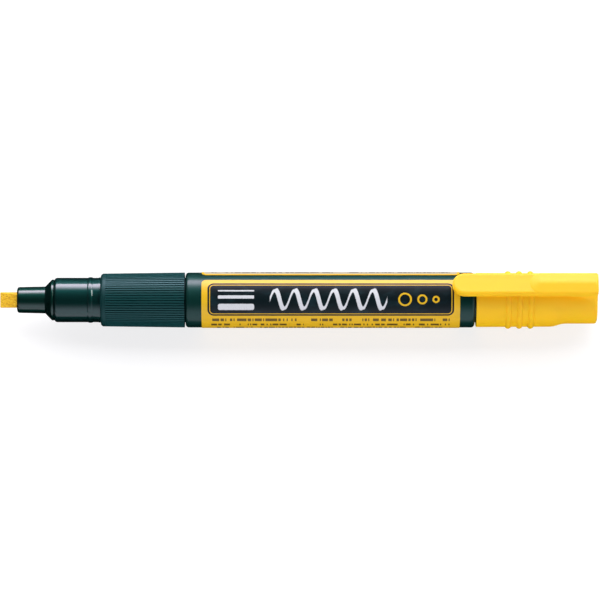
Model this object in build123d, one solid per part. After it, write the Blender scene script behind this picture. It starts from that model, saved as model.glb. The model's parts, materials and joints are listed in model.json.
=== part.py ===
from build123d import *

import math
import os

# Liquid chalk marker with a spring valve behind its chisel nib, shown with the cap posted on its tail.
# Sizes are in millimetres. A station is a distance along the marker's axis from the tip of the nib.
# The axis runs along X with the nib towards -X, and the clip stands straight up.

# Clearances between pieces
PRESS_CLEARANCE = 0.03
SLIDE_CLEARANCE = 0.08
STOP_GAP = 0.05
GLUE_LINE = 0.01

# Nib
NIB_RADIUS = 1.95
NIB_REACH = 4.35
NIB_EDGE_THICKNESS = 1.6
NIB_FLAT_LENGTH = 7.5
NIB_TIP_SLANT = 14.0
NIB_CORNER_ROUND = 0.35
NIB_TRAVEL = 1.8

# Nib holder
HOLDER_TUBE_WALL = 1.33
HOLDER_TUBE_DRAFT = 0.14
HOLDER_TUBE_LENGTH = 7.0
HOLDER_MOUTH_ROUND = 0.6
HOLDER_CONE_LENGTH = 1.65
HOLDER_RING_STEP = 0.45
HOLDER_RING_LENGTH = 0.6
HOLDER_RING_ROUND = 0.2
HOLDER_PLUG_LENGTH = 11.0
HOLDER_CHAMBER_DEPTH = 5.7
HOLDER_CHAMBER_CLEARANCE = 0.25

# Front section: glossy shaft and ribbed grip
SHAFT_STEP = 1.32
SHAFT_LENGTH = 11.65
SHAFT_WALL = 1.1
SHAFT_FRONT_ROUND = 0.8
SHAFT_COLLAR_LENGTH = 0.5
SHAFT_COLLAR_HEIGHT = 0.08
SNAP_BEAD_BEFORE_GRIP = 2.6
SNAP_BEAD_HEIGHT = 0.17
SNAP_BEAD_WIDTH = 1.3
GRIP_LENGTH = 20.95
GRIP_TAPER = 0.27
GRIP_FRONT_ROUND = 0.75
GRIP_SMOOTH_LENGTH = 1.3
GRIP_RIB_COUNT = 66
GRIP_GROOVE_DEPTH = 0.28
GRIP_GROOVE_HALF_WIDTH = 0.15
SECTION_PLUG_LENGTH = 12.0
SECTION_PLUG_RELIEF = 0.25
SECTION_PLUG_WALL = 0.69
SEAL_RIB_WIDTH = 1.2
SEAL_RIB_SPACING = 4.0

# Barrel and label
JOINT_GAP = 0.25
BARREL_RADIUS = 6.87
BARREL_WALL = 1.0
BARREL_LENGTH = 72.1
BARREL_FRONT_ROUND = 0.8
BARREL_REAR_ROUND = 0.85
BARREL_FLOOR = 1.2
SPIGOT_END_GAP = 1.2
SPIGOT_BEAD_WIDTH = 1.3
LABEL_FRONT_INSET = 4.05
LABEL_REAR_INSET = 3.75
LABEL_THICKNESS = 0.11
LABEL_GAP_WIDTH = 2.15
LABEL_CORNER_ROUND = 1.2

# Turn of the label's front and of the nib's flat from the clip, about the axis
FRONT_TURN = 26.0
LABEL_GAP_FROM_FRONT = 54.4

# Valve
SOCKET_DEPTH = 5.0
SOCKET_FLOOR = 1.0
SOCKET_WALL = 0.95
SOCKET_SLOT_LENGTH = 2.4
SOCKET_SLOT_WIDTH = 1.2
VALVE_HEADROOM = 2.2
VALVE_BODY_WALL = 0.8
VALVE_FRONT_WALL = 1.0
VALVE_ORIFICE_RADIUS = 1.8
SEAT_THICKNESS = 1.0
SEAT_HOLE_RADIUS = 1.6
STEM_RADIUS = 1.1
POPPET_RADIUS = 2.75
POPPET_THICKNESS = 1.2
STEM_TAIL_RADIUS = 1.2
SPRING_RADIUS = 1.95
SPRING_WIRE_RADIUS = 0.22
SPRING_TURNS = 6
SPRING_PITCH = 1.25
RETAINER_SKIRT = 2.4
RETAINER_WALL = 0.7
RETAINER_FLOOR = 1.0
RETAINER_FLANGE = 0.9
RETAINER_HOLE_COUNT = 4
RETAINER_HOLE_RADIUS = 0.55

# Mixing balls, at the bottom of the tank
BALL_RADIUS = 3.0
BALL_GAP = 0.1
BALL_COUNT = 2
BALLS_BEFORE_REAR = 30.0

# Cap
CAP_GAP = 0.35
CAP_WALL = 1.07
CAP_DRAFT = 0.09
CAP_TAIL_LENGTH = 7.35
CAP_WAIST_LENGTH = 4.75
CAP_MOUTH_ROUND = 0.25
CAP_LEAD_IN = 0.3
CAP_END_ROUND = 0.7
CAP_END_RIM = 0.9
CAP_CLEARANCE = 0.15
CAP_DEEP_WALL = 1.15
CAP_END_WALL = 2.4
CAP_BEAD_HEIGHT = 0.43
CAP_BEAD_WIDTH = 1.5
CAP_BEAD_FIRST = 8.05
CAP_BEAD_PITCH = 2.8
CAP_BEAD_COUNT = 3

# Inner cap
INNER_SEAL_LENGTH = 0.9
INNER_TUBE_CLEARANCE = 0.4
INNER_TUBE_WALL = 0.96
INNER_HEADROOM = 1.5
INNER_FLOOR = 1.0
INNER_SKIRT_LENGTH = 5.2

# Clip
CLIP_WIDTH = 6.0
CLIP_THICKNESS = 1.55
CLIP_GAP = 1.23
CLIP_OVERHANG = 6.05
CLIP_EDGE_ROUND = 0.8
CLIP_UNDER_ROUND = 0.2
CLIP_ROOT_LENGTH = 6.9
CLIP_NECK_WIDTH = 2.6
CLIP_NECK_FILLET = 0.8
CLIP_FLARE_LENGTH = 6.4
CLIP_FLARE_STEPS = 6
CROWN_LENGTH = 17.3
CROWN_HEEL = 0.7
CROWN_HEIGHT = 0.75
CROWN_RIDGE_ROUND = 2.2
CROWN_CORNER_ROUND = 1.0
CLIP_BUMP_FROM_TIP = 4.0
CLIP_BUMP_RADIUS = 0.9
CLIP_BUMP_DROP = 0.55

# Radii that follow from the barrel outside, and from the nib inside
SHAFT_RADIUS = BARREL_RADIUS - SHAFT_STEP
GRIP_FRONT_RADIUS = BARREL_RADIUS - GRIP_TAPER
HOLDER_RING_RADIUS = SHAFT_RADIUS - HOLDER_RING_STEP
HOLDER_NECK_RADIUS = NIB_RADIUS + SLIDE_CLEARANCE + HOLDER_TUBE_WALL
HOLDER_MOUTH_RADIUS = HOLDER_NECK_RADIUS - HOLDER_TUBE_DRAFT
SECTION_BORE = SHAFT_RADIUS - SHAFT_WALL
HOLDER_PLUG_RADIUS = SECTION_BORE - PRESS_CLEARANCE
SOCKET_RADIUS = NIB_RADIUS + PRESS_CLEARANCE + SOCKET_WALL
HOLDER_CHAMBER_RADIUS = SOCKET_RADIUS + HOLDER_CHAMBER_CLEARANCE
BARREL_BORE = BARREL_RADIUS - BARREL_WALL
SEAL_RIB_RADIUS = BARREL_BORE - PRESS_CLEARANCE
SECTION_PLUG_RADIUS = BARREL_BORE - SECTION_PLUG_RELIEF
VALVE_POCKET = SECTION_PLUG_RADIUS - SECTION_PLUG_WALL
VALVE_BODY_RADIUS = VALVE_POCKET - PRESS_CLEARANCE
VALVE_BORE = VALVE_BODY_RADIUS - VALVE_BODY_WALL
LABEL_INNER = BARREL_RADIUS + GLUE_LINE
LABEL_OUTER = LABEL_INNER + LABEL_THICKNESS
LABEL_LENGTH = BARREL_LENGTH - LABEL_FRONT_INSET - LABEL_REAR_INSET
CAP_BORE = SHAFT_RADIUS + CAP_CLEARANCE
CAP_MOUTH_RADIUS = CAP_BORE + CAP_WALL
CAP_SHOULDER_RADIUS = CAP_MOUTH_RADIUS - CAP_DRAFT
CAP_BEAD_RADIUS = CAP_MOUTH_RADIUS + CAP_BEAD_HEIGHT
INNER_BORE = HOLDER_NECK_RADIUS + INNER_TUBE_CLEARANCE
INNER_NECK = INNER_BORE + INNER_TUBE_WALL
CAP_DEEP_BORE = INNER_NECK + PRESS_CLEARANCE
CAP_TAIL_RADIUS = CAP_DEEP_BORE + CAP_DEEP_WALL
CLIP_UNDERSIDE = CAP_MOUTH_RADIUS + CLIP_GAP
CLIP_TOP = CLIP_UNDERSIDE + CLIP_THICKNESS
SPIGOT_BEAD_HEIGHT = CAP_CLEARANCE - STOP_GAP
SPIGOT_BORE = SHAFT_RADIUS - BARREL_WALL

# Stations of the outside
HOLDER_FRONT = NIB_REACH
HOLDER_NECK = HOLDER_FRONT + HOLDER_TUBE_LENGTH
HOLDER_RING = HOLDER_NECK + HOLDER_CONE_LENGTH
SECTION_FRONT = HOLDER_RING + HOLDER_RING_LENGTH
GRIP_FRONT = SECTION_FRONT + SHAFT_LENGTH
GRIP_REAR = GRIP_FRONT + GRIP_LENGTH
SECTION_REAR = GRIP_REAR + SECTION_PLUG_LENGTH
BARREL_FRONT = GRIP_REAR + JOINT_GAP
BARREL_REAR = BARREL_FRONT + BARREL_LENGTH
LABEL_FRONT = BARREL_FRONT + LABEL_FRONT_INSET
CAP_MOUTH = BARREL_REAR + CAP_GAP

# Depths inside the cap. Capped, its mouth meets the grip, so the nib reaches GRIP_FRONT deep.
INNER_MOUTH_DEPTH = SHAFT_LENGTH + STOP_GAP
INNER_CONE_DEPTH = INNER_MOUTH_DEPTH + INNER_SEAL_LENGTH
INNER_TUBE_DEPTH = INNER_CONE_DEPTH + HOLDER_CONE_LENGTH
INNER_STEP_DEPTH = INNER_MOUTH_DEPTH + INNER_SKIRT_LENGTH
INNER_FLOOR_DEPTH = GRIP_FRONT + INNER_HEADROOM
INNER_END_DEPTH = INNER_FLOOR_DEPTH + INNER_FLOOR
CAP_FLOOR_DEPTH = INNER_END_DEPTH + STOP_GAP
CAP_LENGTH = CAP_FLOOR_DEPTH + CAP_END_WALL
CAP_END = CAP_MOUTH + CAP_LENGTH
CAP_TAIL = CAP_END - CAP_TAIL_LENGTH
CAP_WAIST = CAP_TAIL - CAP_WAIST_LENGTH
SPIGOT_END = CAP_MOUTH + INNER_MOUTH_DEPTH - SPIGOT_END_GAP

# Stations of the valve, from the nib holder backwards
HOLDER_REAR = SECTION_FRONT + HOLDER_PLUG_LENGTH
CHAMBER_FRONT = HOLDER_REAR - HOLDER_CHAMBER_DEPTH
SOCKET_FRONT = CHAMBER_FRONT + STOP_GAP
NIB_REAR = SOCKET_FRONT + SOCKET_DEPTH
SOCKET_REAR = NIB_REAR + SOCKET_FLOOR
VALVE_FRONT = SOCKET_REAR + NIB_TRAVEL + VALVE_HEADROOM
SEAT_FRONT = VALVE_FRONT + VALVE_FRONT_WALL
SEAT_REAR = SEAT_FRONT + SEAT_THICKNESS
POPPET_FRONT = SEAT_REAR + STOP_GAP
POPPET_REAR = POPPET_FRONT + POPPET_THICKNESS
SPRING_FRONT = POPPET_REAR + STOP_GAP + SPRING_WIRE_RADIUS
SPRING_REAR = SPRING_FRONT + SPRING_TURNS * SPRING_PITCH
RETAINER_FACE = SPRING_REAR + SPRING_WIRE_RADIUS + STOP_GAP
RETAINER_FRONT = RETAINER_FACE - RETAINER_SKIRT
VALVE_REAR = RETAINER_FACE + RETAINER_FLOOR
STEM_REAR = RETAINER_FACE - NIB_TRAVEL - VALVE_HEADROOM

# Stations of the clip
CLIP_TIP = CAP_MOUTH - CLIP_OVERHANG
CLIP_ROOT = CAP_END - CLIP_ROOT_LENGTH
CROWN_START = CAP_END - CROWN_LENGTH

# Place of the nib's tip and of the axis in the shared frame
ORIGIN_STATION = CAP_END / 2
AXIS_HEIGHT = CAP_BEAD_RADIUS


def turned(*points):
    """Solid turned about the axis from a closed outline of (station, radius) points."""
    return revolve(make_face(Polyline(*points, close=True)), Axis.X)


def tube(start, end, outer, inner=0.0):
    """Plain tube or rod between two stations."""
    return turned((start, inner), (end, inner), (end, outer), (start, outer))


def bead(station, base_radius, height, width):
    """Ring with a round crest, sunk into the turned surface it stands on."""
    crest_radius = (height**2 + (width / 2) ** 2) / (2 * height)
    centre = (station, base_radius + height - crest_radius)
    return revolve(Location(centre) * Circle(crest_radius), Axis.X)


def rim(part, station, radius):
    """Circular edges of a turned part at a station and a radius."""
    tolerance = 1e-4
    rims = []
    for edge in part.edges().filter_by(GeomType.CIRCLE):
        on_station = abs(edge.arc_center.X - station) < tolerance
        if on_station and abs(edge.radius - radius) < tolerance:
            rims.append(edge)
    return rims


def along_axis(section, start, length):
    """Section drawn in the YZ plane, extruded backwards from a station."""
    return extrude(Plane.YZ.offset(start) * section, length)


def place(name, part):
    """Move a part from the axis into the shared frame and write it."""
    moved = Pos(-ORIGIN_STATION, 0, AXIS_HEIGHT) * part
    export_step(moved, f"parts/{name}.step")
    print(f"{name}: {moved.volume:.1f} mm3, {len(moved.solids())} solid(s), valid {moved.is_valid}")


def make_nib():
    """Fibre rod with two flats that run out to a slanted chisel edge."""
    rod = tube(0, NIB_REAR, NIB_RADIUS)
    half_edge = NIB_EDGE_THICKNESS / 2
    tip_shift = NIB_RADIUS * math.tan(math.radians(NIB_TIP_SLANT))
    side = Polyline(
        (tip_shift * half_edge / NIB_RADIUS, half_edge),
        (NIB_FLAT_LENGTH, NIB_RADIUS + PRESS_CLEARANCE),
        (NIB_REAR, NIB_RADIUS + PRESS_CLEARANCE),
        (NIB_REAR, -NIB_RADIUS - PRESS_CLEARANCE),
        (NIB_FLAT_LENGTH, -NIB_RADIUS - PRESS_CLEARANCE),
        (0, -half_edge),
        close=True,
    )
    wedge = extrude(Plane.XZ * make_face(side), NIB_RADIUS, both=True)
    plan = Rectangle(NIB_REAR, 2 * NIB_RADIUS, align=(Align.MIN, Align.CENTER))
    plan = fillet(plan.vertices().group_by(Axis.X)[0], NIB_CORNER_ROUND)
    outline = extrude(plan, NIB_RADIUS, both=True)
    return (rod & wedge & outline).rotate(Axis.X, FRONT_TURN)


def make_nib_holder():
    """Tube, cone and ring in front, with a plug behind that holds the socket's chamber."""
    holder = turned(
        (HOLDER_FRONT, 0),
        (HOLDER_FRONT, HOLDER_MOUTH_RADIUS),
        (HOLDER_NECK, HOLDER_NECK_RADIUS),
        (HOLDER_RING, HOLDER_RING_RADIUS),
        (SECTION_FRONT, HOLDER_RING_RADIUS),
        (SECTION_FRONT, HOLDER_PLUG_RADIUS),
        (HOLDER_REAR, HOLDER_PLUG_RADIUS),
        (HOLDER_REAR, 0),
    )
    holder = fillet(rim(holder, HOLDER_FRONT, HOLDER_MOUTH_RADIUS), HOLDER_MOUTH_ROUND)
    for edge in (HOLDER_RING, SECTION_FRONT):
        holder = fillet(rim(holder, edge, HOLDER_RING_RADIUS), HOLDER_RING_ROUND)
    holder -= tube(HOLDER_FRONT, HOLDER_REAR, NIB_RADIUS + SLIDE_CLEARANCE)
    return holder - tube(CHAMBER_FRONT, HOLDER_REAR, HOLDER_CHAMBER_RADIUS)


def make_grip_section():
    """Shaft with its snap bead, grip with ribs all round, and the plug into the barrel."""
    section = turned(
        (SECTION_FRONT, 0),
        (SECTION_FRONT, SHAFT_RADIUS),
        (GRIP_FRONT, SHAFT_RADIUS),
        (GRIP_FRONT, GRIP_FRONT_RADIUS),
        (GRIP_REAR, BARREL_RADIUS),
        (GRIP_REAR, SECTION_PLUG_RADIUS),
        (SECTION_REAR, SECTION_PLUG_RADIUS),
        (SECTION_REAR, 0),
    )
    section = fillet(rim(section, SECTION_FRONT, SHAFT_RADIUS), SHAFT_FRONT_ROUND)
    section = fillet(rim(section, GRIP_FRONT, GRIP_FRONT_RADIUS), GRIP_FRONT_ROUND)
    section += tube(GRIP_FRONT - SHAFT_COLLAR_LENGTH, GRIP_FRONT, SHAFT_RADIUS + SHAFT_COLLAR_HEIGHT)
    section += bead(GRIP_FRONT - SNAP_BEAD_BEFORE_GRIP, SHAFT_RADIUS, SNAP_BEAD_HEIGHT, SNAP_BEAD_WIDTH)
    for row in (1, 2):
        rib = SECTION_REAR - row * SEAL_RIB_SPACING
        section += tube(rib, rib + SEAL_RIB_WIDTH, SEAL_RIB_RADIUS, SECTION_BORE)
    section -= tube(SECTION_FRONT, SECTION_REAR, SECTION_BORE)
    section -= tube(VALVE_FRONT, SECTION_REAR, VALVE_POCKET)
    return section - grip_grooves()


def grip_grooves():
    """V grooves along the tapered grip, run out at its rear edge."""
    rise = (BARREL_RADIUS - GRIP_FRONT_RADIUS) / GRIP_LENGTH
    start = GRIP_FRONT + GRIP_SMOOTH_LENGTH
    surface = GRIP_FRONT_RADIUS + rise * GRIP_SMOOTH_LENGTH
    over = GRIP_GROOVE_DEPTH
    half_width = 2 * GRIP_GROOVE_HALF_WIDTH
    notch = Polyline(
        (0, surface - GRIP_GROOVE_DEPTH),
        (half_width, surface + over),
        (-half_width, surface + over),
        close=True,
    )
    face = Plane.YZ.offset(start) * make_face(notch)
    groove = extrude(face, GRIP_LENGTH * math.hypot(1, rise), dir=(1, 0, rise))
    return [groove.rotate(Axis.X, turn * 360 / GRIP_RIB_COUNT) for turn in range(GRIP_RIB_COUNT)]


def make_barrel():
    """Ink tank, closed by the tail spigot that the cap is posted on."""
    floor = BARREL_REAR - BARREL_FLOOR
    barrel = turned(
        (BARREL_FRONT, 0),
        (BARREL_FRONT, BARREL_RADIUS),
        (BARREL_REAR, BARREL_RADIUS),
        (BARREL_REAR, SHAFT_RADIUS),
        (SPIGOT_END, SHAFT_RADIUS),
        (SPIGOT_END, 0),
    )
    barrel = fillet(rim(barrel, BARREL_FRONT, BARREL_RADIUS), BARREL_FRONT_ROUND)
    barrel = fillet(rim(barrel, BARREL_REAR, BARREL_RADIUS), BARREL_REAR_ROUND)
    barrel = fillet(rim(barrel, SPIGOT_END, SHAFT_RADIUS), BARREL_FRONT_ROUND)
    middle = (BARREL_REAR + SPIGOT_END) / 2
    barrel += bead(middle, SHAFT_RADIUS, SPIGOT_BEAD_HEIGHT, SPIGOT_BEAD_WIDTH)
    barrel -= tube(BARREL_FRONT, floor, BARREL_BORE)
    return barrel - tube(floor, SPIGOT_END - BARREL_FLOOR, SPIGOT_BORE)


def make_label():
    """Film round the barrel, open along a seam behind the clip, with rounded corners at the seam."""
    film = tube(LABEL_FRONT, LABEL_FRONT + LABEL_LENGTH, LABEL_OUTER, LABEL_INNER)
    corner = LABEL_CORNER_ROUND
    seam = Rectangle(LABEL_LENGTH, LABEL_GAP_WIDTH)
    for end in (-1, 1):
        inset = LABEL_LENGTH / 2 - corner
        flare = Pos(end * (inset + corner / 2), 0) * Rectangle(corner, LABEL_GAP_WIDTH + 2 * corner)
        for side in (-1, 1):
            flare -= Pos(end * inset, side * (LABEL_GAP_WIDTH / 2 + corner)) * Circle(corner)
        seam += flare
    cutter = Pos(LABEL_FRONT + LABEL_LENGTH / 2, 0, 0) * extrude(seam, LABEL_OUTER + corner)
    return (film - cutter).rotate(Axis.X, FRONT_TURN - LABEL_GAP_FROM_FRONT)


def make_valve_body():
    """Tube with a front wall that carries the seat, pushed into the pocket of the section."""
    body = tube(VALVE_FRONT, VALVE_REAR, VALVE_BODY_RADIUS, VALVE_ORIFICE_RADIUS)
    return body - tube(SEAT_FRONT, VALVE_REAR, VALVE_BORE)


def make_valve_seat():
    """Soft ring against the front wall of the valve body."""
    return tube(SEAT_FRONT, SEAT_REAR, VALVE_BORE - PRESS_CLEARANCE, SEAT_HOLE_RADIUS)


def make_valve_stem():
    """Slotted socket for the nib, rod through the seat, poppet behind it and a tail inside the spring."""
    stem = turned(
        (SOCKET_FRONT, 0),
        (SOCKET_FRONT, SOCKET_RADIUS),
        (SOCKET_REAR, SOCKET_RADIUS),
        (SOCKET_REAR, STEM_RADIUS),
        (POPPET_FRONT, STEM_RADIUS),
        (POPPET_FRONT, POPPET_RADIUS),
        (POPPET_REAR, POPPET_RADIUS),
        (POPPET_REAR, STEM_TAIL_RADIUS),
        (STEM_REAR, STEM_TAIL_RADIUS),
        (STEM_REAR, 0),
    )
    stem -= tube(SOCKET_FRONT, NIB_REAR, NIB_RADIUS + PRESS_CLEARANCE)
    slot = Box(SOCKET_SLOT_LENGTH, SOCKET_SLOT_WIDTH, 2 * SOCKET_RADIUS)
    slot = Pos(NIB_REAR - SOCKET_SLOT_LENGTH / 2, 0, 0) * slot
    return stem - slot - slot.rotate(Axis.X, 90)


def coil_point(angle):
    """Point of the spring's centre line after a turn of the given angle."""
    advance = SPRING_PITCH * angle / (2 * math.pi)
    return Vector(SPRING_FRONT + advance, SPRING_RADIUS * math.cos(angle), SPRING_RADIUS * math.sin(angle))


def coil_direction(angle):
    """Direction of the spring's centre line there."""
    advance = SPRING_PITCH / (2 * math.pi)
    return Vector(advance, -SPRING_RADIUS * math.sin(angle), SPRING_RADIUS * math.cos(angle)).normalized()


def make_return_spring():
    """Round wire wound on pairs of tangent arcs, one pair to a quarter turn."""
    quarter = math.pi / 2
    arcs = []
    for step in range(4 * SPRING_TURNS):
        start = coil_point(step * quarter)
        end = coil_point((step + 1) * quarter)
        leaving = coil_direction(step * quarter)
        arriving = coil_direction((step + 1) * quarter)
        chord = end - start
        both = leaving + arriving
        bend = 2 * (1 - leaving.dot(arriving))
        reach = (math.sqrt(chord.dot(both) ** 2 + bend * chord.dot(chord)) - chord.dot(both)) / bend
        joint = (start + end + (leaving - arriving) * reach) * 0.5
        crossing = (end - arriving * reach) - (start + leaving * reach)
        arcs.append(TangentArc(start, joint, tangent=leaving))
        arcs.append(TangentArc(joint, end, tangent=crossing))
    section = Plane(coil_point(0), z_dir=coil_direction(0)) * Circle(SPRING_WIRE_RADIUS)
    return sweep(section, path=Wire(arcs))


def spring_gap():
    """Least gap between neighbouring turns of the wire, measured on points."""
    steps = 48
    points = [coil_point(step * 2 * math.pi / steps) for step in range(SPRING_TURNS * steps + 1)]
    least = math.inf
    for first, point in enumerate(points):
        for other in points[first + steps // 2 :]:
            least = min(least, (other - point).length)
    return least - 2 * SPRING_WIRE_RADIUS


def make_spring_retainer():
    """Cup behind the spring, with a flange on the valve body and holes for the ink."""
    outer = VALVE_BORE - PRESS_CLEARANCE
    cup = tube(RETAINER_FRONT, VALVE_REAR, outer)
    cup += tube(VALVE_REAR, VALVE_REAR + RETAINER_FLANGE, VALVE_BODY_RADIUS)
    cup -= tube(RETAINER_FRONT, RETAINER_FACE, outer - RETAINER_WALL)
    ring = (outer - RETAINER_WALL) / 2 + SPRING_WIRE_RADIUS
    length = RETAINER_FLOOR + RETAINER_FLANGE
    hole = along_axis(Pos(0, ring) * Circle(RETAINER_HOLE_RADIUS), RETAINER_FACE, length)
    for turn in range(RETAINER_HOLE_COUNT):
        cup -= hole.rotate(Axis.X, turn * 360 / RETAINER_HOLE_COUNT)
    return cup


def make_mixing_balls():
    """Balls in line at the bottom of the tank."""
    depth = BARREL_BORE - BALL_RADIUS - BALL_GAP
    spacing = 2 * BALL_RADIUS + BALL_GAP
    first = BARREL_REAR - BALLS_BEFORE_REAR
    balls = [Pos(first + row * spacing, 0, -depth) * Sphere(BALL_RADIUS) for row in range(BALL_COUNT)]
    return Compound(children=balls)


def cap_body():
    """Outside of the cap from its mouth to the clip's root, with the S-shaped waist and the beads."""
    middle = (CAP_WAIST + CAP_TAIL) / 2
    waist = Bezier(
        (CAP_WAIST, CAP_SHOULDER_RADIUS),
        (middle, CAP_SHOULDER_RADIUS),
        (middle, CAP_TAIL_RADIUS),
        (CAP_TAIL, CAP_TAIL_RADIUS),
    )
    front = Polyline(
        (CAP_TAIL, 0),
        (CAP_MOUTH, 0),
        (CAP_MOUTH, CAP_MOUTH_RADIUS),
        (CAP_WAIST, CAP_SHOULDER_RADIUS),
    )
    back = Line((CAP_TAIL, CAP_TAIL_RADIUS), (CAP_TAIL, 0))
    body = revolve(make_face(front.edges() + waist.edges() + back.edges()), Axis.X)
    body = fillet(rim(body, CAP_MOUTH, CAP_MOUTH_RADIUS), CAP_MOUTH_ROUND)
    for row in range(CAP_BEAD_COUNT):
        depth = CAP_BEAD_FIRST + row * CAP_BEAD_PITCH
        part_way = depth / (CAP_WAIST - CAP_MOUTH)
        base = CAP_MOUTH_RADIUS - CAP_DRAFT * part_way
        body += bead(CAP_MOUTH + depth, base, CAP_BEAD_RADIUS - base, CAP_BEAD_WIDTH)
    return body


def crown(base):
    """Ridged back over the clip's full width, with a round ridge, nose and heel, from a base height up."""
    half_width = CLIP_WIDTH / 2
    ridge = CLIP_TOP + CROWN_HEIGHT
    outline = Polyline(
        (-half_width, base),
        (half_width, base),
        (half_width, CLIP_TOP),
        (0, ridge),
        (-half_width, CLIP_TOP),
        close=True,
    )
    section = make_face(outline)
    section = fillet(section.vertices().group_by(Axis.Y)[1], CLIP_EDGE_ROUND)
    section = fillet(section.vertices().sort_by(Axis.Y)[-1], CROWN_RIDGE_ROUND)
    nose_centre = CROWN_START + half_width
    half = section & Rectangle(half_width, ridge, align=(Align.MIN, Align.MIN))
    back = Pos(nose_centre, 0, 0) * revolve(Plane.XZ * half, Axis.Z)
    back += along_axis(section, nose_centre, CAP_END - nose_centre)
    side = Pos(CAP_END, 0) * Rectangle(CROWN_LENGTH, ridge, align=(Align.MAX, Align.MIN))
    side = fillet(side.vertices().group_by(Axis.Y)[-1].sort_by(Axis.X)[-1], CROWN_HEEL)
    plan = Pos(CAP_END, 0) * Rectangle(CROWN_LENGTH, CLIP_WIDTH, align=(Align.MAX, Align.CENTER))
    plan = fillet(plan.vertices().group_by(Axis.X)[-1], CROWN_CORNER_ROUND)
    return back & extrude(Plane.XZ * side, half_width, both=True) & extrude(plan, ridge)


def make_clip_arm():
    """Flat arm with a round tip, the front of the crown, and a bump below the tip."""
    half_width = CLIP_WIDTH / 2
    tip_centre = CLIP_TIP + half_width
    length = CLIP_ROOT - tip_centre
    plan = Pos(tip_centre, 0) * Rectangle(length, CLIP_WIDTH, align=(Align.MIN, Align.CENTER))
    plan += Pos(tip_centre, 0) * Circle(half_width)
    arm = Pos(0, 0, CLIP_UNDERSIDE) * extrude(plan, CLIP_THICKNESS)
    for face, size in ((-1, CLIP_EDGE_ROUND), (0, CLIP_UNDER_ROUND)):
        outline = arm.faces().sort_by(Axis.Z)[face].edges()
        arm = fillet([edge for edge in outline if edge.center().X < CLIP_ROOT - STOP_GAP], size)
    front = split(crown(CLIP_TOP - CLIP_EDGE_ROUND), Plane.YZ.offset(CLIP_ROOT), keep=Keep.BOTTOM)
    arm += front
    bump_height = CLIP_UNDERSIDE + CLIP_BUMP_RADIUS - CLIP_BUMP_DROP
    bump = Cylinder(CLIP_BUMP_RADIUS, CLIP_WIDTH / 2, rotation=(90, 0, 0))
    return arm + Pos(CLIP_TIP + CLIP_BUMP_FROM_TIP, 0, bump_height) * bump


def neck_section(width, radius):
    """Tail of the cap and a neck up to the clip, with concave fillets where they meet."""
    section = Circle(CAP_TAIL_RADIUS)
    section += Rectangle(width, CLIP_TOP - CLIP_EDGE_ROUND, align=(Align.CENTER, Align.MIN))
    inner_height = math.sqrt(CAP_TAIL_RADIUS**2 - (width / 2) ** 2)
    inner_corners = []
    for vertex in section.vertices():
        if abs(vertex.Y - inner_height) < STOP_GAP:
            inner_corners.append(vertex)
    return fillet(inner_corners, radius)


def cap_root():
    """Tail of the cap with the root of the clip, on a neck that flares out towards the end."""
    end_width = CLIP_WIDTH - 2 * CROWN_CORNER_ROUND
    half_width = end_width / 2
    rise = CLIP_UNDERSIDE**2 + half_width**2 - CAP_TAIL_RADIUS**2
    flare = rise / (2 * (CAP_TAIL_RADIUS - half_width))
    rim_start = CAP_END - CAP_END_RIM
    flare_start = CAP_END - CLIP_FLARE_LENGTH
    sections = []
    for step in range(CLIP_FLARE_STEPS + 1):
        part_way = step / CLIP_FLARE_STEPS
        width = CLIP_NECK_WIDTH + (end_width - CLIP_NECK_WIDTH) * part_way**2
        radius = CLIP_NECK_FILLET + (flare - CLIP_NECK_FILLET) * part_way**2
        station = flare_start + (rim_start - flare_start) * part_way
        sections.append(Plane.YZ.offset(station) * neck_section(width, radius))
    neck = along_axis(neck_section(CLIP_NECK_WIDTH, CLIP_NECK_FILLET), CLIP_ROOT, flare_start - CLIP_ROOT)
    neck += loft(sections, ruled=True)
    end = along_axis(neck_section(end_width, flare), rim_start, CAP_END_RIM)
    end = fillet(end.faces().sort_by(Axis.X)[-1].outer_wire().edges(), CAP_END_ROUND)
    return neck + end + split(crown(CLIP_UNDERSIDE), Plane.YZ.offset(CLIP_ROOT), keep=Keep.TOP)


def make_cap_shell():
    """Cap with its bores, and the root of the clip at its closed end."""
    shell = cap_body() + tube(CAP_TAIL, CLIP_ROOT, CAP_TAIL_RADIUS) + cap_root()
    step = CAP_MOUTH + INNER_STEP_DEPTH
    floor = CAP_MOUTH + CAP_FLOOR_DEPTH
    return shell - turned(
        (CAP_MOUTH, 0),
        (CAP_MOUTH, CAP_BORE + CAP_LEAD_IN),
        (CAP_MOUTH + CAP_LEAD_IN, CAP_BORE),
        (step, CAP_BORE),
        (step, CAP_DEEP_BORE),
        (floor, CAP_DEEP_BORE),
        (floor, 0),
    )


def make_inner_cap():
    """Liner with a seal mouth for the holder's ring, a cone and a blind tube for the nib."""
    skirt = CAP_BORE - PRESS_CLEARANCE
    seal = HOLDER_RING_RADIUS + STOP_GAP
    return turned(
        (CAP_MOUTH + INNER_MOUTH_DEPTH, seal),
        (CAP_MOUTH + INNER_MOUTH_DEPTH, skirt),
        (CAP_MOUTH + INNER_STEP_DEPTH, skirt),
        (CAP_MOUTH + INNER_STEP_DEPTH, INNER_NECK),
        (CAP_MOUTH + INNER_END_DEPTH, INNER_NECK),
        (CAP_MOUTH + INNER_END_DEPTH, 0),
        (CAP_MOUTH + INNER_FLOOR_DEPTH, 0),
        (CAP_MOUTH + INNER_FLOOR_DEPTH, INNER_BORE),
        (CAP_MOUTH + INNER_TUBE_DEPTH, INNER_BORE),
        (CAP_MOUTH + INNER_CONE_DEPTH, seal),
    )


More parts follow.
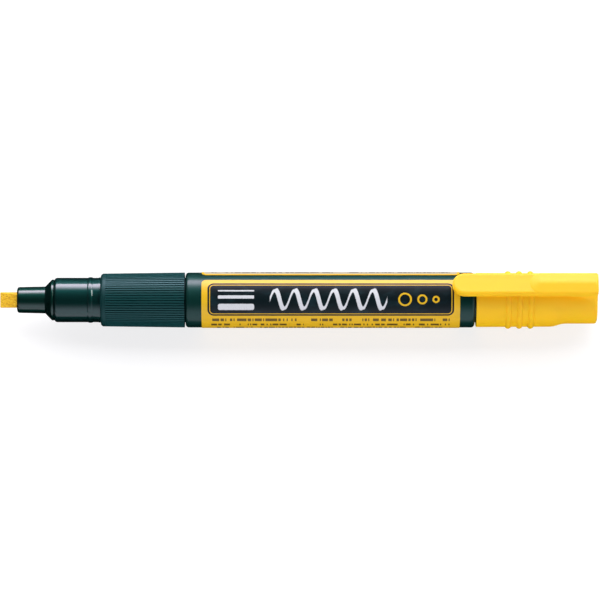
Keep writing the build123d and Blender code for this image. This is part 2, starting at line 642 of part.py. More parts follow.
os.makedirs("parts", exist_ok=True)
place("nib", make_nib())
place("nib_holder", make_nib_holder())
place("grip_section", make_grip_section())
place("barrel", make_barrel())
place("label", make_label())
place("valve_body", make_valve_body())
place("valve_seat", make_valve_seat())
place("valve_stem", make_valve_stem())
place("return_spring", make_return_spring())
place("spring_retainer", make_spring_retainer())
place("mixing_balls", make_mixing_balls())
place("cap_shell", make_cap_shell())
place("cap_clip", make_clip_arm())
place("inner_cap", make_inner_cap())
print(f"least gap between turns of the return spring: {spring_gap():.2f} mm")
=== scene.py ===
"""Looks of a liquid chalk marker that lies with its cap posted on its tail."""
import json
import math

import bmesh
import bpy
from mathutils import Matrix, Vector


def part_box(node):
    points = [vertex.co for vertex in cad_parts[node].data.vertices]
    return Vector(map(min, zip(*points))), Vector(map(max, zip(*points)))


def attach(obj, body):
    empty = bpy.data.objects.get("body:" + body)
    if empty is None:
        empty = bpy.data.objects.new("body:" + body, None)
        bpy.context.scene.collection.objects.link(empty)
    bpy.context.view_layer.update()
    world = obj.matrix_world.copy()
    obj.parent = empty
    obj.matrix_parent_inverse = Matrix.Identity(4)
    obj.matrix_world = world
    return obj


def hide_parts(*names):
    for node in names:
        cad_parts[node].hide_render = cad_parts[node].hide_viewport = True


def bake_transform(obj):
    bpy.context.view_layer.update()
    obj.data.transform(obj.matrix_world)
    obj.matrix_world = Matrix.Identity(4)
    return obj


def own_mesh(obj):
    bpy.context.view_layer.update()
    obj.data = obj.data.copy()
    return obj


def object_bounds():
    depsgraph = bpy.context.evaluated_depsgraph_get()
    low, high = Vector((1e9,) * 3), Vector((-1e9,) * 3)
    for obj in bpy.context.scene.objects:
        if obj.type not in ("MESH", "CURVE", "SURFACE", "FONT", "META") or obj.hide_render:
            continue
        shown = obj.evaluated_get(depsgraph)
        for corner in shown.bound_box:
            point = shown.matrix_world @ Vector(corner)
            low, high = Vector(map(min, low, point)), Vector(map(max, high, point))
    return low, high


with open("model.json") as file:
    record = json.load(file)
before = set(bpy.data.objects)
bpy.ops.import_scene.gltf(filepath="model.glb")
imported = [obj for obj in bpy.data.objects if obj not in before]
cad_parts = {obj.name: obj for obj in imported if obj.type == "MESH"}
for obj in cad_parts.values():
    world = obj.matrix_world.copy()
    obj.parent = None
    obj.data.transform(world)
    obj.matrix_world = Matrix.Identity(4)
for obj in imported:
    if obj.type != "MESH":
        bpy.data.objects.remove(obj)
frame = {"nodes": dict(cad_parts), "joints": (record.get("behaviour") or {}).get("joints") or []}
cad_low, cad_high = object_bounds()
nodes = frame["nodes"]

MM = 0.001
FAR_SIDE = 1
NEAR_SIDE = -1

# Camera: the photograph is 600 pixels square and shows 150 mm across
VIEW_ELEVATION = 64.0
VIEW_WIDTH = 150.0 * MM
VIEW_DISTANCE = 1.1
VIEW_CENTRE_X = 0.45 * MM
SENSOR_WIDTH = 36.0

# Studio: two strips that only the gloss shows, key and side, and two soft panels for the matte light.
# Elevations and half angles are in degrees, lengths in metres, and a radiance of 1 renders as white.
LAMP_DISTANCE = 0.6
KEY_ELEVATION = 48.3
KEY_HALF_ANGLE = 23.7
KEY_WIDTH = 0.7
KEY_RADIANCE = 12.2
KEY_FADE_START = 0.25
KEY_COLOUR = (0.97, 0.77, 0.95)
SIDE_DIRECTION = (0.62, 0.24, 0.75)
SIDE_HALF_ANGLE = 5.0
SIDE_WIDTH = 0.3
SIDE_RADIANCE = 18.0
BACK_ELEVATION = 42.0
BACK_HALF_ANGLE = 30.0
BACK_WIDTH = 2.4
BACK_RADIANCE = 2.6
FRONT_ELEVATION = 22.0
FRONT_HALF_ANGLE = 20.0
FRONT_WIDTH = 2.4
FRONT_RADIANCE = 1.35

# Room: pale at the horizon and dark overhead, a white floor, and black flags of painted shade that only the
# gloss shows.
# Lengths are in metres. The room fades between two sines of elevation, the floor between two distances.
ROOM_COLOUR = (1.0, 0.96, 1.16)
HORIZON_LEVEL = 1.2
OVERHEAD_LEVEL = 0.03
HORIZON_FADE = (0.09, 0.77)
FLOOR_SIZE = 12.0
FLOOR_COLOUR = (0.36, 0.36, 0.36)
FLOOR_SHEEN = (1.02, 0.96, 1.2)
FLOOR_LIFT = 0.72
FLOOR_FADE = (0.3, 1.6)
FLAG_NEAR = 0.019
FLAG_FAR = 0.9
FLAG_END = 0.35
FLAG_HEIGHT = 0.26
FLAG_LIFT = 0.1 * MM

# Marker: places, lengths, radii and depths in millimetres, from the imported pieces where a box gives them.
# The start, taper and smooth length of the grip repeat the part's.
label_low, label_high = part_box("label")
barrel_low, barrel_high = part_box("barrel")
_, clip_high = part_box("cap_clip")
spring_low, spring_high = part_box("return_spring")
AXIS_HEIGHT = (barrel_low.z + barrel_high.z) / 2 / MM
NIB_TIP = cad_low.x / MM
NIB_EDGE_LENGTH = 0.5
GRIP_START = -49.3
GRIP_END = barrel_low.x / MM
GRIP_RADIUS = (barrel_high.z - barrel_low.z) / 2 / MM
GRIP_TAPER = 0.27
GRIP_SMOOTH_LENGTH = 1.3
GRIP_EDGE_BLUR = 0.05
# Painted shade in the grip's grooves sets in between these depths below the crest
GROOVE_SHADE_DEPTHS = (0.02, 0.18)
BEND_LENGTH = 9.0
BEND_CUTS = 18

# Label: places in millimetres, along it from its nib end and round it from the middle of its front.
# The front is turned by an angle in degrees from the top of the marker towards the camera.
LABEL_START = label_low.x / MM
LABEL_LENGTH = (label_high.x - label_low.x) / MM
LABEL_RADIUS = (label_high.z - label_low.z) / 2 / MM
LABEL_MIDDLE = LABEL_LENGTH / 2
FRONT_TURN = 26.0
CRISP_BLUR = 0.03
CHALK_BLUR = 0.06
CHALK_RAGGEDNESS = 0.12
PANEL_ROUND = 0.15
PANEL_SIZE = (LABEL_LENGTH - 3.0, 8.6)
PANEL_CORNER = 1.6
FRAME_INSET = 0.55
FRAME_WIDTH = 0.2
BAR_ALONG = 8.6
BAR_LENGTH = 9.0
BAR_PLACES_AND_WIDTHS = ((2.35, 0.35), (0.75, 0.8), (-1.75, 1.6))
BAR_CORNER_SHARE = 0.3
WAVE_START = 17.0
WAVE_END = 46.2
WAVE_HEIGHT = 2.2
WAVE_PITCH = 4.87
WAVE_THICK = 1.25
WAVE_THIN = 0.4
RING_PLACES_AND_RADII = ((50.6, 1.7), (54.9, 1.25), (58.3, 0.9))
RING_WIDTH = 0.45
BACK_ROUND = 14.6
BACK_SIZE = (LABEL_LENGTH - 1.2, 12.6)
BACK_CORNER = 0.8
ROW_MARGIN = 2.4
FRONT_ROWS = {"first": -5.5, "pitch": 1.95, "count": 3, "height": 0.95}
BACK_ROWS = {"first": 20.0, "pitch": 1.5, "count": 8, "height": 0.8}
BLOCKS_PER_MM = 0.55
BLOCK_SEED = 3.0
BLOCK_GAPS = 0.16
TICKS_PER_MM = 3.4
TICK_SEED = 11.0
TICK_GAPS = 0.34

# Depths of relief in millimetres
PEEL_DEPTH = 0.006
EROSION_DEPTH = 0.03
FIBRE_DEPTH = 0.05
FILM_DEPTH = 0.006
STEEL_DEPTH = 0.004
RUBBER_DEPTH = 0.015

# Colours
WHITE = (1.0, 1.0, 1.0)
BLACK = (0.0, 0.0, 0.0)
NIB_DARK = (0.8, 0.41, 0.006)
NIB_PALE = (0.98, 0.66, 0.035)
NIB_SPECK = (0.56, 0.25, 0.006)
NIB_EDGE = (0.84, 0.5, 0.03)
DEEP_GREEN = (0.0001, 0.0015, 0.0015)
GREEN = (0.0005, 0.012, 0.0095)
GREEN_SHEEN = (0.01, 1.0, 0.78)
HOLDER_SHEEN = (0.01, 1.0, 0.64)
BARREL_SHEEN = (0.06, 0.76, 0.59)
GRIP_GREEN = (0.0006, 0.04, 0.039)
GRIP_SHEEN = (0.54, 1.0, 1.0)
YELLOW = (0.97, 0.56, 0.002)
NATURAL = (0.8, 0.8, 0.76)
STEEL = (0.62, 0.61, 0.59)
RUBBER = (0.03, 0.03, 0.032)
LABEL_YELLOW = (0.78, 0.47, 0.016)
SLATE = (0.002, 0.008, 0.01)
CHALK = (0.68, 0.7, 0.72)
BEIGE = (0.5, 0.43, 0.32)
PRINT_INK = (0.02, 0.016, 0.012)

# Patterns: factors of a colour, and shares of a mix or of a relief
FLOW_CONTRAST = 0.1
# Painted shade on the grip: the share on its smooth rim, and the colour and sheen factors in its grooves
GRIP_RIM_SHADE = 0.5
GROOVE_PAINTED_SHADE = 0.3
GROOVE_SHEEN_SHADE = 0.4
NIB_EDGE_WEAR = 0.6
SPECK_PIT = 0.3
FILM_CONTRAST = 0.05
FILM_GRAIN = 0.15
SLATE_DUST = 3.0
FRONT_ROW_INK = 0.85
BACK_ROW_INK = 0.8
STEEL_MARKS = 0.85
RUBBER_BLOOM = 1.8
FLOOR_GRAIN = 0.99
DRAWN_STRETCH = (0.2, 1.0, 1.0)
POLISHED_STRETCH = (1.0, 1.0, 1.0)

# Roughness
MOULDED_SPREAD = 0.04
SHAFT_ROUGHNESS = 0.53
SHAFT_SPREAD = 0.05
GRIP_SMOOTHER_BY = 0.05
BARREL_ROUGHNESS = 0.55
CAP_ROUGHNESS = 0.62
NATURAL_ROUGHNESS = 0.4
FILM_ROUGHNESS = (0.32, 0.4)
RUBBER_ROUGHNESS = (0.6, 0.8)
WIRE_ROUGHNESS = 0.25
BALL_ROUGHNESS = 0.12
STEEL_SPREAD = 0.12

# Shader settings
PLASTIC = {"IOR": 1.5}
FIBRE = {"Roughness": 0.8, "IOR": 1.4}
FILM = {"IOR": 1.5, "Specular IOR Level": 0.24}
METAL = {"Metallic": 1.0}
PAPER = {"Roughness": 0.9, "Specular IOR Level": 0.1}
# Black of the flags: painted shade that only reflections see
PAINTED_SHADE_SHEET = {"Base Color": BLACK, "Roughness": 1.0, "Specular IOR Level": 0.0}
CAP_PLASTIC = {
    "IOR": 1.5,
    "Specular IOR Level": 0.39,
    "Subsurface Weight": 0.25,
    "Subsurface Radius": (1.0, 0.45, 0.05),
    "Subsurface Scale": 1.2 * MM,
}
POLISHED_GREEN = {
    "IOR": 1.5,
    "Specular Tint": GREEN_SHEEN,
    "Coat Weight": 1.0,
    "Coat Roughness": 0.08,
    "Coat IOR": 1.5,
}
HOLDER_GREEN = {**POLISHED_GREEN, "Specular Tint": HOLDER_SHEEN}
WAXY_GREEN = {
    **POLISHED_GREEN,
    "Specular Tint": BARREL_SHEEN,
    "Coat Weight": 0.53,
    "Coat Roughness": 0.24,
}


class Signal:
    """A node's output that takes part in formulas, so that a pattern reads like one."""

    def __init__(self, tree, socket):
        self.tree = tree
        self.socket = socket

    def math(self, operation, *others):
        """Result of a math node that takes this signal first and then the others."""
        node = self.tree.nodes.new("ShaderNodeMath")
        node.operation = operation
        for place, value in enumerate((self, *others)):
            plug(self.tree, value, node.inputs[place])
        return Signal(self.tree, node.outputs[0])

    def __add__(self, other):
        return self.math("ADD", other)

    def __sub__(self, other):
        return self.math("SUBTRACT", other)

    def __rsub__(self, other):
        return (self * -1.0) + other

    def __mul__(self, other):
        return self.math("MULTIPLY", other)

    def __truediv__(self, other):
        return self.math("DIVIDE", other)

    def size(self):
        """The signal without its sign."""
        return self.math("ABSOLUTE")

    def smooth(self, low, high):
        """0 below low, 1 above high and a soft step between them."""
        node = self.tree.nodes.new("ShaderNodeMapRange")
        node.interpolation_type = "SMOOTHSTEP"
        plug(self.tree, self, node.inputs["Value"])
        node.inputs["From Min"].default_value = low
        node.inputs["From Max"].default_value = high
        return Signal(self.tree, node.outputs["Result"])

    def ramp(self, low, high):
        """Low where the signal is 0, high where it is 1."""
        return self * (high - low) + low


def plug(tree, value, socket):
    """Link a signal to a socket, or set the socket to a plain value."""
    if isinstance(value, Signal):
        tree.links.new(value.socket, socket)
    else:
        socket.default_value = value


def tinted(colour, factor):
    """Colour made darker or brighter by a factor."""
    return tuple(part * factor for part in colour)


class Paint:
    """A material in the making: its node tree, its shader and the patterns that drive it."""

    def __init__(self, name, settings):
        self.material = bpy.data.materials.new(name)
        self.material.use_nodes = True
        self.tree = self.material.node_tree
        self.shader = self.tree.nodes["Principled BSDF"]
        self.position = self.scaled(self.node("ShaderNodeTexCoord").outputs["Object"], (1 / MM,) * 3)
        for socket, value in settings.items():
            self.set(socket, value)

    def node(self, kind):
        """New node in the material's tree."""
        return self.tree.nodes.new(kind)

    def set(self, socket, value):
        """Set or link one of the shader's sockets. A plain colour gets its alpha here."""
        if isinstance(value, tuple) and self.shader.inputs[socket].type == "RGBA":
            value = (*value, 1.0)
        plug(self.tree, value, self.shader.inputs[socket])

    def scaled(self, vector, factors):
        """A vector socket with its three parts multiplied by factors."""
        node = self.node("ShaderNodeVectorMath")
        node.operation = "MULTIPLY"
        self.tree.links.new(vector, node.inputs[0])
        node.inputs[1].default_value = factors
        return node.outputs["Vector"]

    def axes(self):
        """The three coordinates in millimetres."""
        node = self.node("ShaderNodeSeparateXYZ")
        self.tree.links.new(self.position, node.inputs[0])
        return [Signal(self.tree, output) for output in node.outputs]

    def noise(self, scale, stretch=(1.0, 1.0, 1.0), detail=2.0):
        """Soft noise from 0 to 1, with scale features to a millimetre along each axis."""
        node = self.node("ShaderNodeTexNoise")
        factors = tuple(scale * part for part in stretch)
        self.tree.links.new(self.scaled(self.position, factors), node.inputs["Vector"])
        node.inputs["Scale"].default_value = 1.0
        node.inputs["Detail"].default_value = detail
        return Signal(self.tree, node.outputs[0])

    def mix(self, under, over, factor, blend="MIX"):
        """Colour that goes from under to over, or to their product, as the factor goes from 0 to 1."""
        node = self.node("ShaderNodeMix")
        node.data_type = "RGBA"
        node.blend_type = blend
        plug(self.tree, factor, node.inputs[0])
        for socket, colour in zip(node.inputs[6:8], (under, over)):
            value = (*colour, 1.0) if isinstance(colour, tuple) else colour
            plug(self.tree, value, socket)
        return Signal(self.tree, node.outputs[2])

    def uneven(self, colour, contrast, pattern):
        """Colour that a pattern makes darker and brighter by a contrast."""
        return self.mix(tinted(colour, 1 - contrast), tinted(colour, 1 + contrast), pattern)

    def bump(self, height, depth):
        """Relief of the given depth in millimetres."""
        node = self.node("ShaderNodeBump")
        node.inputs["Strength"].default_value = 1.0
        node.inputs["Distance"].default_value = depth * MM
        plug(self.tree, height, node.inputs["Height"])
        self.set("Normal", Signal(self.tree, node.outputs["Normal"]))


def flow_marks(paint, colour):
    """Colour with the faint marks that plastic leaves as it flows along a mould."""
    flow = paint.noise(scale=0.16, stretch=(0.35, 1.0, 1.0), detail=3.0)
    return paint.uneven(colour, FLOW_CONTRAST, flow)


def handled_gloss(paint, roughness, spread):
    """Roughness that handling has made uneven."""
    return paint.noise(scale=0.7, detail=4.0).ramp(roughness - spread, roughness + spread)


def orange_peel(paint):
    """Fine unevenness of a moulded skin."""
    return paint.noise(scale=3.5, detail=3.0)


def moulded(name, colour, roughness, settings):
    """Moulded plastic: faint flow marks in the colour, uneven gloss and a fine orange peel."""
    paint = Paint(name, settings)
    paint.set("Base Color", flow_marks(paint, colour))
    paint.set("Roughness", handled_gloss(paint, roughness, MOULDED_SPREAD))
    paint.bump(orange_peel(paint), PEEL_DEPTH)
    return paint


def grip_plastic():
    """Front section: a polished shaft and a satin, finely spark-eroded grip on the same moulding, with
    painted shade in the grip's grooves and on its smooth rim.
    """
    paint = Paint("section_green", POLISHED_GREEN)
    along, across, up = paint.axes()
    height = up - AXIS_HEIGHT
    radius = (across * across + height * height).math("SQRT")
    crest = (along - GRIP_END) * (GRIP_TAPER / (GRIP_END - GRIP_START)) + GRIP_RADIUS
    grip = along.smooth(GRIP_START - GRIP_EDGE_BLUR, GRIP_START + GRIP_EDGE_BLUR)
    grip = grip * along.math("LESS_THAN", GRIP_END)
    ribbed = grip * along.math("GREATER_THAN", GRIP_START + GRIP_SMOOTH_LENGTH)
    # Painted shade: colour and sheen darken with depth in the grip's grooves, and the smooth rim at its
    # front gets half of it.
    shade = (crest - radius).smooth(*GROOVE_SHADE_DEPTHS) * ribbed + (grip - ribbed) * GRIP_RIM_SHADE
    base = paint.mix(flow_marks(paint, DEEP_GREEN), GRIP_GREEN, grip)
    paint.set("Base Color", paint.mix(base, tinted(GRIP_GREEN, GROOVE_PAINTED_SHADE), shade))
    grip_share = tuple(ribs / shaft for ribs, shaft in zip(GRIP_SHEEN, GREEN_SHEEN))
    share = paint.mix(WHITE, grip_share, grip)
    share = paint.mix(share, tinted(grip_share, GROOVE_SHEEN_SHADE), shade)
    paint.set("Specular Tint", paint.mix(GREEN_SHEEN, share, 1.0, "MULTIPLY"))
    paint.set("Coat Weight", 1.0 - grip)
    gloss = handled_gloss(paint, SHAFT_ROUGHNESS, SHAFT_SPREAD)
    paint.set("Roughness", gloss - grip * GRIP_SMOOTHER_BY)
    erosion = paint.noise(scale=9.0, detail=4.0) * grip
    paint.bump(orange_peel(paint) * (PEEL_DEPTH / EROSION_DEPTH) + erosion, EROSION_DEPTH)
    return paint


def fibre_nib():
    """Bonded fibre soaked with ink: fibres along the nib, ink specks and a worn edge."""
    paint = Paint("nib_fibre", FIBRE)
    along = paint.axes()[0]
    strands = paint.noise(scale=5.0, stretch=(0.06, 1.0, 1.0), detail=4.0)
    blots = paint.noise(scale=1.3, detail=3.0)
    specks = paint.noise(scale=4.5, stretch=(0.5, 1.0, 1.0), detail=2.0).smooth(0.52, 0.62)
    edge = 1.0 - along.smooth(NIB_TIP, NIB_TIP + NIB_EDGE_LENGTH)
    colour = paint.mix(NIB_DARK, NIB_PALE, strands.smooth(0.3, 0.7))
    colour = paint.mix(colour, NIB_SPECK, specks * blots.smooth(0.25, 0.55))
    paint.set("Base Color", paint.mix(colour, NIB_EDGE, edge * NIB_EDGE_WEAR))
    paint.bump(strands + specks * -SPECK_PIT, FIBRE_DEPTH)
    return paint


class LabelPlan:
    """Flat plan of the label: its coordinates in millimetres, its patterns, shapes and masks."""

    def __init__(self, paint):
        self.paint = paint
        along, across, up = paint.axes()
        height = up - AXIS_HEIGHT
        turn = math.radians(FRONT_TURN)
        facing = height * math.cos(turn) - across * math.sin(turn)
        aside = height * math.sin(turn) + across * math.cos(turn)
        self.along = along - LABEL_START
        self.round = aside.math("ARCTAN2", facing) * LABEL_RADIUS
        self.grain = paint.noise(scale=6.0, detail=3.0)
        self.smudge = paint.noise(scale=0.5, stretch=(0.5, 1.0, 1.0), detail=4.0)

    def solid(self, distance):
        """Mask of a crisp shape, from the distance to its outline."""
        return 1.0 - distance.smooth(-CRISP_BLUR, CRISP_BLUR)

    def chalky(self, distance):
        """Mask of a chalk stroke that is ragged at its outline and thin where the grain is low."""
        ragged = distance + self.grain.ramp(-CHALK_RAGGEDNESS, CHALK_RAGGEDNESS)
        cover = self.grain.smooth(0.26, 0.4).ramp(0.55, 1.0)
        return (1.0 - ragged.smooth(-CHALK_BLUR, CHALK_BLUR)) * cover

    def box(self, centre, size, corner):
        """Distance to the outline of a rounded rectangle, negative inside it."""
        reach = []
        for place, middle, extent in zip((self.along, self.round), centre, size):
            reach.append((place - middle).size() - (extent / 2 - corner))
        outside = [part.math("MAXIMUM", 0.0) for part in reach]
        inside = reach[0].math("MAXIMUM", reach[1]).math("MINIMUM", 0.0)
        return (outside[0] * outside[0] + outside[1] * outside[1]).math("SQRT") + inside - corner

    def disc(self, centre, radius):
        """Distance to the outline of a disc, negative inside it."""
        sideways = self.along - centre[0]
        upwards = self.round - centre[1]
        return (sideways * sideways + upwards * upwards).math("SQRT") - radius

    def wave(self):
        """Distance to a broad-nib wave that is thick where it falls and thin where it rises."""
        radians_per_mm = 2 * math.pi / WAVE_PITCH
        phase = (self.along - WAVE_START) * radians_per_mm
        slope = phase.math("COSINE") * (WAVE_HEIGHT * radians_per_mm)
        offset = (self.round - PANEL_ROUND) - phase.math("SINE") * WAVE_HEIGHT
        gap = offset.size() / (slope * slope + 1.0).math("SQRT")
        falling = 0.5 - phase.math("COSINE") * 0.5
        width = falling.ramp(WAVE_THIN / 2, WAVE_THICK / 2)
        ends = (self.along - (WAVE_START + WAVE_END) / 2).size() - (WAVE_END - WAVE_START) / 2
        return (gap - width).math("MAXIMUM", ends)

    def rows(self, first, pitch, count, height):
        """Mask of rows of fine bars that are broken into blocks and ticks."""
        row = (self.round - first) / -pitch
        index = row.math("ROUND")
        band = (row - index).size().math("LESS_THAN", height / pitch / 2)
        band = band * index.math("GREATER_THAN", -0.5) * index.math("LESS_THAN", count - 0.5)
        span = self.along.math("GREATER_THAN", ROW_MARGIN)
        span = span * self.along.math("LESS_THAN", LABEL_LENGTH - ROW_MARGIN)
        blocks = self.cells(BLOCKS_PER_MM, index, BLOCK_SEED).math("GREATER_THAN", BLOCK_GAPS)
        ticks = self.cells(TICKS_PER_MM, index, TICK_SEED).math("GREATER_THAN", TICK_GAPS)
        return band * span * blocks * ticks

    def cells(self, density, index, seed):
        """A fixed random value for each cell along a row."""
        node = self.paint.node("ShaderNodeTexWhiteNoise")
        node.noise_dimensions = "2D"
        joined = self.paint.node("ShaderNodeCombineXYZ")
        plug(self.paint.tree, (self.along * density).math("FLOOR"), joined.inputs[0])
        plug(self.paint.tree, index + seed, joined.inputs[1])
        self.paint.tree.links.new(joined.outputs[0], node.inputs["Vector"])
        return Signal(self.paint.tree, node.outputs["Value"])


def slate_panel(plan, colour):
    """Slate panel with a thin frame, three chalk bars, a chalk wave and three rings, over a colour."""
    paint = plan.paint
    slate = paint.mix(SLATE, tinted(SLATE, SLATE_DUST), plan.smudge.smooth(0.45, 0.8))
    panel = plan.box((LABEL_MIDDLE, PANEL_ROUND), PANEL_SIZE, PANEL_CORNER)
    colour = paint.mix(colour, slate, plan.solid(panel))
    colour = paint.mix(colour, LABEL_YELLOW, plan.solid((panel + FRAME_INSET).size() - FRAME_WIDTH / 2))
    for place, width in BAR_PLACES_AND_WIDTHS:
        bar = plan.box((BAR_ALONG, place), (BAR_LENGTH, width), width * BAR_CORNER_SHARE)
        colour = paint.mix(colour, CHALK, plan.chalky(bar))
    colour = paint.mix(colour, CHALK, plan.chalky(plan.wave()))
    for place, radius in RING_PLACES_AND_RADII:
        ring = plan.disc((place, PANEL_ROUND), radius)
        colour = paint.mix(colour, LABEL_YELLOW, plan.chalky(ring))
        colour = paint.mix(colour, slate, plan.solid(ring + RING_WIDTH))
    return colour


def beige_back(plan, colour):
    """Beige field with rows of fine bars on the label's back, over a colour."""
    field = plan.solid(plan.box((LABEL_MIDDLE, BACK_ROUND), BACK_SIZE, BACK_CORNER))
    colour = plan.paint.mix(colour, BEIGE, field)
    return plan.paint.mix(colour, PRINT_INK, plan.rows(**BACK_ROWS) * field * BACK_ROW_INK)


def printed_film():
    """Label: yellow film with rows of fine bars, a slate panel on its front and a beige back."""
    paint = Paint("label_print", FILM)
    plan = LabelPlan(paint)
    colour = paint.uneven(LABEL_YELLOW, FILM_CONTRAST, plan.smudge)
    colour = paint.mix(colour, PRINT_INK, plan.rows(**FRONT_ROWS) * FRONT_ROW_INK)
    colour = slate_panel(plan, colour)
    paint.set("Base Color", beige_back(plan, colour))
    paint.set("Roughness", plan.smudge.ramp(*FILM_ROUGHNESS))
    paint.bump(paint.noise(scale=1.2, detail=2.0) + plan.grain * FILM_GRAIN, FILM_DEPTH)
    return paint


def bright_steel(name, stretch, roughness):
    """Bright steel with drawing or polishing marks."""
    paint = Paint(name, METAL)
    marks = paint.noise(scale=6.0, stretch=stretch, detail=4.0)
    paint.set("Base Color", paint.mix(tinted(STEEL, STEEL_MARKS), STEEL, marks))
    paint.set("Roughness", marks.ramp(roughness, roughness + STEEL_SPREAD))
    paint.bump(marks, STEEL_DEPTH)
    return paint


def soft_rubber():
    """Seat ring: dull rubber with bloom."""
    paint = Paint("seat_rubber", PLASTIC)
    bloom = paint.noise(scale=1.5, detail=4.0)
    paint.set("Base Color", paint.mix(RUBBER, tinted(RUBBER, RUBBER_BLOOM), bloom.smooth(0.4, 0.8)))
    paint.set("Roughness", bloom.ramp(*RUBBER_ROUGHNESS))
    paint.bump(paint.noise(scale=6.0, detail=3.0), RUBBER_DEPTH)
    return paint


def dress(paint, *pieces):
    """Give pieces a finished material."""
    for piece in pieces:
        piece.data.materials.clear()
        piece.data.materials.append(paint.material)


def copy_of(node, name):
    """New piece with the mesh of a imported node, which it replaces, and with its material slot."""
    piece = bpy.data.objects.new(name, nodes[node].data.copy())
    bpy.context.scene.collection.objects.link(piece)
    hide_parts(node)
    return piece


def bending_clip():
    """Clip arm as a copy of the clip, cut across at even steps over BEND_LENGTH from its root end."""
    arm = copy_of("cap_clip", "clip_arm")
    bend_start = clip_high.x
    bend_end = clip_high.x - BEND_LENGTH * MM
    model = bmesh.new()
    model.from_mesh(arm.data)
    for cut in range(1, BEND_CUTS):
        place = bend_start + (bend_end - bend_start) * cut / BEND_CUTS
        everything = model.verts[:] + model.edges[:] + model.faces[:]
        bmesh.ops.bisect_plane(model, geom=everything, plane_co=(place, 0, 0), plane_no=(1, 0, 0))
    model.to_mesh(arm.data)
    model.free()
    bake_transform(arm)
    return arm


def shortening_spring():
    """Return spring as a copy on the marker; the share of its length kept when the nib is pressed in is
    worked out but not used.
    """
    coil = copy_of("return_spring", "spring_coil")
    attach(coil, "marker")
    press = next(joint for joint in frame["joints"] if joint["name"] == "nib_press")
    kept = 1 - max(press["range_m"]) / (spring_high.x - spring_low.x)
    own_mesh(coil)
    return coil


def dress_marker():
    """Materials for every piece of the marker."""
    dress(fibre_nib(), nodes["nib"])
    dress(moulded("holder_green", DEEP_GREEN, SHAFT_ROUGHNESS, HOLDER_GREEN), nodes["nib_holder"])
    dress(grip_plastic(), nodes["grip_section"])
    dress(moulded("barrel_green", GREEN, BARREL_ROUGHNESS, WAXY_GREEN), nodes["barrel"])
    dress(printed_film(), nodes["label"])
    cap_yellow = moulded("cap_yellow", YELLOW, CAP_ROUGHNESS, CAP_PLASTIC)
    dress(cap_yellow, nodes["cap_shell"], bending_clip())
    natural = moulded("natural_plastic", NATURAL, NATURAL_ROUGHNESS, PLASTIC)
    dress(natural, *(nodes[name] for name in ("inner_cap", "valve_body", "valve_stem", "spring_retainer")))
    dress(soft_rubber(), nodes["valve_seat"])
    dress(bright_steel("spring_wire", DRAWN_STRETCH, WIRE_ROUGHNESS), shortening_spring())
    dress(bright_steel("ball_steel", POLISHED_STRETCH, BALL_ROUGHNESS), nodes["mixing_balls"])


def toward(elevation, side):
    """Unit vector in the plane across the marker, at an elevation on the far or near side."""
    angle = math.radians(elevation)
    return Vector((0.0, side * math.cos(angle), math.sin(angle)))


def aim(holder, direction, distance, centre_x=0.0):
    """Put a lamp or the camera at a distance from a point on the marker's axis, facing that point."""
    holder.location = Vector((centre_x, 0, AXIS_HEIGHT * MM)) + direction * distance
    holder.rotation_mode = "QUATERNION"
    holder.rotation_quaternion = direction.to_track_quat("Z", "Y")


def panel_lamp(name, direction, half_angle, width, radiance):
    """Area lamp that faces the marker and spans an angle of elevations."""
    lamp = bpy.data.lights.new(name, "AREA")
    lamp.shape = "RECTANGLE"
    lamp.size = width
    lamp.size_y = 2 * LAMP_DISTANCE * math.tan(math.radians(half_angle))
    lamp.energy = radiance * math.pi * lamp.size * lamp.size_y
    holder = bpy.data.objects.new(name, lamp)
    bpy.context.scene.collection.objects.link(holder)
    aim(holder, direction, LAMP_DISTANCE)
    holder.visible_camera = False
    return holder


def fade_upwards(lamp):
    """Make a lamp brightest along its lower edge and fade it out towards its upper edge."""
    lamp.use_nodes = True
    tree = lamp.node_tree
    split = tree.nodes.new("ShaderNodeSeparateXYZ")
    geometry = tree.nodes.new("ShaderNodeNewGeometry")
    tree.links.new(geometry.outputs["Parametric"], split.inputs[0])
    fade = 1.0 - Signal(tree, split.outputs[1]).smooth(KEY_FADE_START, 1.0)
    plug(tree, fade * fade, tree.nodes["Emission"].inputs["Strength"])


def light_studio():
    """Two strips that only the gloss shows, and two soft panels for the matte light."""
    key = panel_lamp("key", toward(KEY_ELEVATION, FAR_SIDE), KEY_HALF_ANGLE, KEY_WIDTH, KEY_RADIANCE)
    key.data.color = KEY_COLOUR
    fade_upwards(key.data)
    beside = Vector(SIDE_DIRECTION).normalized()
    side = panel_lamp("side", beside, SIDE_HALF_ANGLE, SIDE_WIDTH, SIDE_RADIANCE)
    for strip in (key, side):
        strip.visible_diffuse = False
    behind = toward(BACK_ELEVATION, FAR_SIDE)
    back = panel_lamp("back", behind, BACK_HALF_ANGLE, BACK_WIDTH, BACK_RADIANCE)
    before = toward(FRONT_ELEVATION, NEAR_SIDE)
    front = panel_lamp("front", before, FRONT_HALF_ANGLE, FRONT_WIDTH, FRONT_RADIANCE)
    for soft in (back, front):
        soft.visible_glossy = False


def paint_room():
    """World that is pale at the horizon and dark overhead."""
    world = bpy.data.worlds.new("room")
    world.use_nodes = True
    tree = world.node_tree
    split = tree.nodes.new("ShaderNodeSeparateXYZ")
    coordinates = tree.nodes.new("ShaderNodeTexCoord")
    tree.links.new(coordinates.outputs["Generated"], split.inputs[0])
    height = Signal(tree, split.outputs[2])
    background = tree.nodes["Background"]
    background.inputs["Color"].default_value = (*ROOM_COLOUR, 1.0)
    level = height.smooth(*HORIZON_FADE).ramp(HORIZON_LEVEL, OVERHEAD_LEVEL)
    plug(tree, level, background.inputs["Strength"])
    bpy.context.scene.world = world


def stage_sheet(name, corners, faces, paint):
    """Piece of the stage made of flat faces, from its corners in metres."""
    mesh = bpy.data.meshes.new(name)
    mesh.from_pydata(corners, [], faces)
    sheet = bpy.data.objects.new(name, mesh)
    bpy.context.scene.collection.objects.link(sheet)
    dress(paint, sheet)
    return sheet


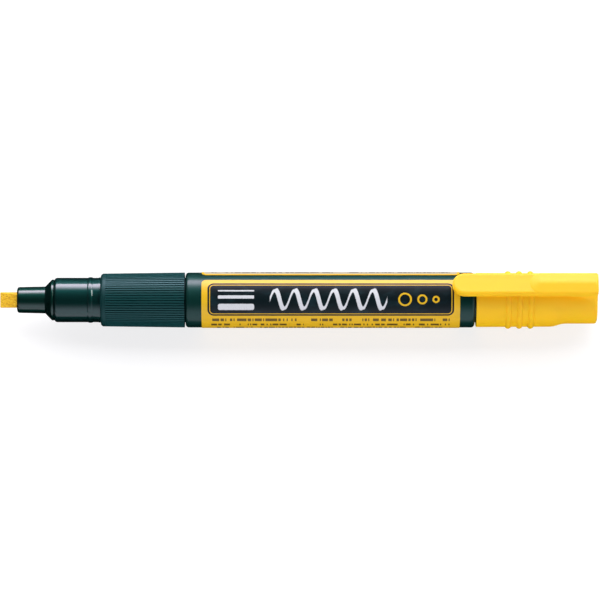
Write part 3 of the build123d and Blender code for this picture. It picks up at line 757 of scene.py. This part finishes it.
def lay_floor():
    """White floor with a faint paper grain, lifted to white where it is the background."""
    paint = Paint("floor_white", PAPER)
    grain = paint.noise(scale=0.05, detail=2.0)
    paint.set("Base Color", paint.mix(tinted(FLOOR_COLOUR, FLOOR_GRAIN), FLOOR_COLOUR, grain))
    rays = paint.node("ShaderNodeLightPath")
    kinds = ("Is Camera Ray", "Is Glossy Ray", "Is Transmission Ray")
    camera, glossy, transmission = (Signal(paint.tree, rays.outputs[kind]) for kind in kinds)
    along, across, _ = paint.axes()
    distance = (along * along + across * across).math("SQRT") * MM
    lift = distance.smooth(*FLOOR_FADE).ramp(FLOOR_LIFT, 1.0)
    paint.set("Emission Color", paint.mix(WHITE, FLOOR_SHEEN, glossy))
    paint.set("Emission Strength", (camera + glossy + transmission).math("MINIMUM", 1.0) * lift)
    half = FLOOR_SIZE / 2
    corners = [(-half, -half, 0), (half, -half, 0), (half, half, 0), (-half, half, 0)]
    stage_sheet("floor", corners, [range(4)], paint)


def stand_flags():
    """Black sheets under the marker, behind it and beyond its nib, that only the gloss sees: painted shade
    that keeps its edges dark.
    """
    nib = cad_low.x - FLAG_NEAR
    corners = [
        (-FLAG_END, -FLAG_END, FLAG_LIFT),
        (nib, -FLAG_END, FLAG_LIFT),
        (nib, -FLAG_NEAR, FLAG_LIFT),
        (FLAG_FAR, -FLAG_NEAR, FLAG_LIFT),
        (FLAG_FAR, FLAG_FAR, FLAG_LIFT),
        (-FLAG_END, FLAG_FAR, FLAG_LIFT),
        (-FLAG_END, -FLAG_END, FLAG_HEIGHT),
        (-FLAG_END, FLAG_FAR, FLAG_HEIGHT),
        (FLAG_FAR, FLAG_FAR, FLAG_HEIGHT),
    ]
    faces = [range(6), (0, 5, 7, 6), (5, 4, 8, 7)]
    flags = stage_sheet("flags", corners, faces, Paint("painted_shade_black", PAINTED_SHADE_SHEET))
    for rays in ("camera", "diffuse", "transmission", "shadow"):
        setattr(flags, f"visible_{rays}", False)


def place_camera():
    """Camera that looks down on the marker from its near side, as in the photograph."""
    data = bpy.data.cameras.new("camera")
    data.sensor_width = SENSOR_WIDTH
    data.lens = SENSOR_WIDTH * VIEW_DISTANCE / VIEW_WIDTH
    camera = bpy.data.objects.new("camera", data)
    bpy.context.scene.collection.objects.link(camera)
    aim(camera, toward(VIEW_ELEVATION, NEAR_SIDE), VIEW_DISTANCE, VIEW_CENTRE_X)
    bpy.context.scene.camera = camera


place_camera()
light_studio()
paint_room()
lay_floor()
stand_flags()
dress_marker()
bpy.context.scene.view_settings.view_transform = "Standard"
